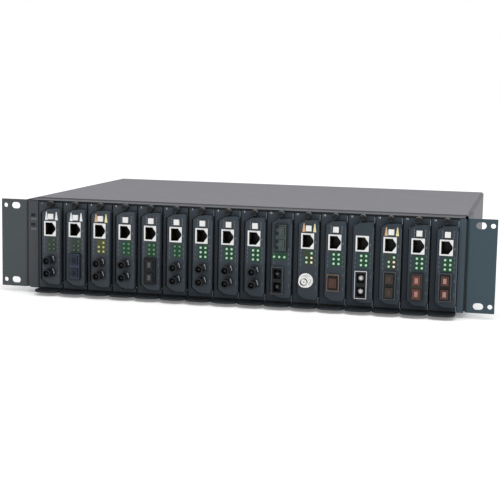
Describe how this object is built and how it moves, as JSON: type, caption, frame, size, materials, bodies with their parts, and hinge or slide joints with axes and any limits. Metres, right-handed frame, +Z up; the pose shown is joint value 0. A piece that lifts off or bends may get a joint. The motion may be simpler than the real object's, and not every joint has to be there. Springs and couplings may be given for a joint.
{
  "type": "media converter chassis",
  "caption": "Two-unit rack chassis with slide-in media converters, rack ears, thumbscrews, pull lips, backplane and a rear supply with fan and switch.",
  "frame": {"origin": "centre of the four rack slots, on the rear face of the ears, which lies on the rack's rails", "axes": "+X along the front to the right as seen from the front, +Y from the front to the rear, +Z up"},
  "size_m": [0.4954, 0.3097, 0.096],
  "materials": {
    "case_paint": "fine matt powder coat",
    "cover_paint": "fine matt powder coat",
    "ear_paint": "fine matt powder coat",
    "bare_steel": "plated sheet steel",
    "guide_plastic": "moulded",
    "circuit_board": "solder mask",
    "foot_rubber": "matt",
    "converter_paint": "fine matt powder coat",
    "thumbscrew_black": "knurled",
    "button_white": "smooth",
    "switch_plastic": "smooth",
    "fan_plastic": "moulded"
  },
  "bodies": {
    "case": {"base_tray": "case_paint", "top_cover": "cover_paint", "front_rail": "case_paint", "rack_ear_left": "ear_paint", "rack_ear_right": "ear_paint", "status_strip": "ear_paint", "end_strip": "ear_paint", "card_guides": "guide_plastic", "backplane": "circuit_board", "bay_plate": "bare_steel", "rubber_feet": "foot_rubber"},
    "supply": {"power_supply": "bare_steel"},
    "switch": {"power_switch": "switch_plastic"},
    "rotor": {"fan_rotor": "fan_plastic"},
    "converter_01": {"converter_01": "converter_paint"},
    "screw_01": {"thumbscrew_01": "thumbscrew_black"},
    "push_01": {"button_01": "button_white"},
    "converter_02": {"converter_02": "converter_paint"},
    "screw_02": {"thumbscrew_02": "thumbscrew_black"},
    "push_02": {"button_02": "button_white"},
    "converter_03": {"converter_03": "converter_paint"},
    "screw_03": {"thumbscrew_03": "thumbscrew_black"},
    "push_03": {"button_03": "button_white"},
    "converter_04": {"converter_04": "converter_paint"},
    "screw_04": {"thumbscrew_04": "thumbscrew_black"},
    "push_04": {"button_04": "button_white"},
    "converter_05": {"converter_05": "converter_paint"},
    "screw_05": {"thumbscrew_05": "thumbscrew_black"},
    "push_05": {"button_05": "button_white"},
    "converter_06": {"converter_06": "converter_paint"},
    "screw_06": {"thumbscrew_06": "thumbscrew_black"},
    "push_06": {"button_06": "button_white"},
    "converter_07": {"converter_07": "converter_paint"},
    "screw_07": {"thumbscrew_07": "thumbscrew_black"},
    "push_07": {"button_07": "button_white"},
    "converter_08": {"converter_08": "converter_paint"},
    "screw_08": {"thumbscrew_08": "thumbscrew_black"},
    "push_08": {"button_08": "button_white"},
    "converter_09": {"converter_09": "converter_paint"},
    "screw_09": {"thumbscrew_09": "thumbscrew_black"},
    "push_09": {"button_09": "button_white"},
    "converter_10": {"converter_10": "converter_paint"},
    "screw_10": {"thumbscrew_10": "thumbscrew_black"},
    "converter_11": {"converter_11": "converter_paint"},
    "screw_11": {"thumbscrew_11": "thumbscrew_black"},
    "push_11": {"button_11": "button_white"},
    "converter_12": {"converter_12": "converter_paint"},
    "screw_12": {"thumbscrew_12": "thumbscrew_black"},
    "push_12": {"button_12": "button_white"},
    "converter_13": {"converter_13": "converter_paint"},
    "screw_13": {"thumbscrew_13": "thumbscrew_black"},
    "converter_14": {"converter_14": "converter_paint"},
    "screw_14": {"thumbscrew_14": "thumbscrew_black"},
    "push_14": {"button_14": "button_white"},
    "converter_15": {"converter_15": "converter_paint"},
    "screw_15": {"thumbscrew_15": "thumbscrew_black"},
    "push_15": {"button_15": "button_white"},
    "converter_16": {"converter_16": "converter_paint"},
    "screw_16": {"thumbscrew_16": "thumbscrew_black"},
    "push_16": {"button_16": "button_white"}
  },
  "joints": [
    {"name": "supply_slide", "type": "slide", "parent": "case", "child": "supply", "axis": [0, 1, 0], "range_m": [0, 0.16]},
    {"name": "switch_rock", "type": "hinge", "parent": "supply", "child": "switch", "pos_m": [0.183, 0.2832, 0.01205], "axis": [1, 0, 0], "range_deg": [-20, 0]},
    {"name": "fan_spin", "type": "hinge", "parent": "supply", "child": "rotor", "pos_m": [0.126, 0.2762, -0.00195], "axis": [0, 1, 0], "continuous": true},
    {"name": "converter_slide_01", "type": "slide", "parent": "case", "child": "converter_01", "axis": [0, -1, 0], "range_m": [0, 0.13]},
    {"name": "screw_turn_01", "type": "hinge", "parent": "converter_01", "child": "screw_01", "pos_m": [-0.19261, -0.007, 0.04155], "axis": [0, 1, 0], "continuous": true},
    {"name": "button_press_01", "type": "slide", "parent": "converter_01", "child": "push_01", "axis": [0, 1, 0], "range_m": [0, 0.0015], "stiffness_N_per_m": 200, "springref_m": -0.0005},
    {"name": "converter_slide_02", "type": "slide", "parent": "case", "child": "converter_02", "axis": [0, -1, 0], "range_m": [0, 0.13]},
    {"name": "screw_turn_02", "type": "hinge", "parent": "converter_02", "child": "screw_02", "pos_m": [-0.16633, -0.007, 0.04155], "axis": [0, 1, 0], "continuous": true},
    {"name": "button_press_02", "type": "slide", "parent": "converter_02", "child": "push_02", "axis": [0, 1, 0], "range_m": [0, 0.0015], "stiffness_N_per_m": 200, "springref_m": -0.0005},
    {"name": "converter_slide_03", "type": "slide", "parent": "case", "child": "converter_03", "axis": [0, -1, 0], "range_m": [0, 0.13]},
    {"name": "screw_turn_03", "type": "hinge", "parent": "converter_03", "child": "screw_03", "pos_m": [-0.14006, -0.007, 0.04155], "axis": [0, 1, 0], "continuous": true},
    {"name": "button_press_03", "type": "slide", "parent": "converter_03", "child": "push_03", "axis": [0, 1, 0], "range_m": [0, 0.0015], "stiffness_N_per_m": 200, "springref_m": -0.0005},
    {"name": "converter_slide_04", "type": "slide", "parent": "case", "child": "converter_04", "axis": [0, -1, 0], "range_m": [0, 0.13]},
    {"name": "screw_turn_04", "type": "hinge", "parent": "converter_04", "child": "screw_04", "pos_m": [-0.11378, -0.007, 0.04155], "axis": [0, 1, 0], "continuous": true},
    {"name": "button_press_04", "type": "slide", "parent": "converter_04", "child": "push_04", "axis": [0, 1, 0], "range_m": [0, 0.0015], "stiffness_N_per_m": 200, "springref_m": -0.0005},
    {"name": "converter_slide_05", "type": "slide", "parent": "case", "child": "converter_05", "axis": [0, -1, 0], "range_m": [0, 0.13]},
    {"name": "screw_turn_05", "type": "hinge", "parent": "converter_05", "child": "screw_05", "pos_m": [-0.0875, -0.007, 0.04155], "axis": [0, 1, 0], "continuous": true},
    {"name": "button_press_05", "type": "slide", "parent": "converter_05", "child": "push_05", "axis": [0, 1, 0], "range_m": [0, 0.0015], "stiffness_N_per_m": 200, "springref_m": -0.0005},
    {"name": "converter_slide_06", "type": "slide", "parent": "case", "child": "converter_06", "axis": [0, -1, 0], "range_m": [0, 0.13]},
    {"name": "screw_turn_06", "type": "hinge", "parent": "converter_06", "child": "screw_06", "pos_m": [-0.06122, -0.007, 0.04155], "axis": [0, 1, 0], "continuous": true},
    {"name": "button_press_06", "type": "slide", "parent": "converter_06", "child": "push_06", "axis": [0, 1, 0], "range_m": [0, 0.0015], "stiffness_N_per_m": 200, "springref_m": -0.0005},
    {"name": "converter_slide_07", "type": "slide", "parent": "case", "child": "converter_07", "axis": [0, -1, 0], "range_m": [0, 0.13]},
    {"name": "screw_turn_07", "type": "hinge", "parent": "converter_07", "child": "screw_07", "pos_m": [-0.03494, -0.007, 0.04155], "axis": [0, 1, 0], "continuous": true},
    {"name": "button_press_07", "type": "slide", "parent": "converter_07", "child": "push_07", "axis": [0, 1, 0], "range_m": [0, 0.0015], "stiffness_N_per_m": 200, "springref_m": -0.0005},
    {"name": "converter_slide_08", "type": "slide", "parent": "case", "child": "converter_08", "axis": [0, -1, 0], "range_m": [0, 0.13]},
    {"name": "screw_turn_08", "type": "hinge", "parent": "converter_08", "child": "screw_08", "pos_m": [-0.00866, -0.007, 0.04155], "axis": [0, 1, 0], "continuous": true},
    {"name": "button_press_08", "type": "slide", "parent": "converter_08", "child": "push_08", "axis": [0, 1, 0], "range_m": [0, 0.0015], "stiffness_N_per_m": 200, "springref_m": -0.0005},
    {"name": "converter_slide_09", "type": "slide", "parent": "case", "child": "converter_09", "axis": [0, -1, 0], "range_m": [0, 0.13]},
    {"name": "screw_turn_09", "type": "hinge", "parent": "converter_09", "child": "screw_09", "pos_m": [0.01761, -0.007, 0.04155], "axis": [0, 1, 0], "continuous": true},
    {"name": "button_press_09", "type": "slide", "parent": "converter_09", "child": "push_09", "axis": [0, 1, 0], "range_m": [0, 0.0015], "stiffness_N_per_m": 200, "springref_m": -0.0005},
    {"name": "converter_slide_10", "type": "slide", "parent": "case", "child": "converter_10", "axis": [0, -1, 0], "range_m": [0, 0.13]},
    {"name": "screw_turn_10", "type": "hinge", "parent": "converter_10", "child": "screw_10", "pos_m": [0.04389, -0.007, 0.04155], "axis": [0, 1, 0], "continuous": true},
    {"name": "converter_slide_11", "type": "slide", "parent": "case", "child": "converter_11", "axis": [0, -1, 0], "range_m": [0, 0.13]},
    {"name": "screw_turn_11", "type": "hinge", "parent": "converter_11", "child": "screw_11", "pos_m": [0.07017, -0.007, 0.04155], "axis": [0, 1, 0], "continuous": true},
    {"name": "button_press_11", "type": "slide", "parent": "converter_11", "child": "push_11", "axis": [0, 1, 0], "range_m": [0, 0.0015], "stiffness_N_per_m": 200, "springref_m": -0.0005},
    {"name": "converter_slide_12", "type": "slide", "parent": "case", "child": "converter_12", "axis": [0, -1, 0], "range_m": [0, 0.13]},
    {"name": "screw_turn_12", "type": "hinge", "parent": "converter_12", "child": "screw_12", "pos_m": [0.09645, -0.007, 0.04155], "axis": [0, 1, 0], "continuous": true},
    {"name": "button_press_12", "type": "slide", "parent": "converter_12", "child": "push_12", "axis": [0, 1, 0], "range_m": [0, 0.0015], "stiffness_N_per_m": 200, "springref_m": -0.0005},
    {"name": "converter_slide_13", "type": "slide", "parent": "case", "child": "converter_13", "axis": [0, -1, 0], "range_m": [0, 0.13]},
    {"name": "screw_turn_13", "type": "hinge", "parent": "converter_13", "child": "screw_13", "pos_m": [0.12273, -0.007, 0.04155], "axis": [0, 1, 0], "continuous": true},
    {"name": "converter_slide_14", "type": "slide", "parent": "case", "child": "converter_14", "axis": [0, -1, 0], "range_m": [0, 0.13]},
    {"name": "screw_turn_14", "type": "hinge", "parent": "converter_14", "child": "screw_14", "pos_m": [0.149, -0.007, 0.04155], "axis": [0, 1, 0], "continuous": true},
    {"name": "button_press_14", "type": "slide", "parent": "converter_14", "child": "push_14", "axis": [0, 1, 0], "range_m": [0, 0.0015], "stiffness_N_per_m": 200, "springref_m": -0.0005},
    {"name": "converter_slide_15", "type": "slide", "parent": "case", "child": "converter_15", "axis": [0, -1, 0], "range_m": [0, 0.13]},
    {"name": "screw_turn_15", "type": "hinge", "parent": "converter_15", "child": "screw_15", "pos_m": [0.17528, -0.007, 0.04155], "axis": [0, 1, 0], "continuous": true},
    {"name": "button_press_15", "type": "slide", "parent": "converter_15", "child": "push_15", "axis": [0, 1, 0], "range_m": [0, 0.0015], "stiffness_N_per_m": 200, "springref_m": -0.0005},
    {"name": "converter_slide_16", "type": "slide", "parent": "case", "child": "converter_16", "axis": [0, -1, 0], "range_m": [0, 0.13]},
    {"name": "screw_turn_16", "type": "hinge", "parent": "converter_16", "child": "screw_16", "pos_m": [0.20156, -0.007, 0.04155], "axis": [0, 1, 0], "continuous": true},
    {"name": "button_press_16", "type": "slide", "parent": "converter_16", "child": "push_16", "axis": [0, 1, 0], "range_m": [0, 0.0015], "stiffness_N_per_m": 200, "springref_m": -0.0005}
  ]
}
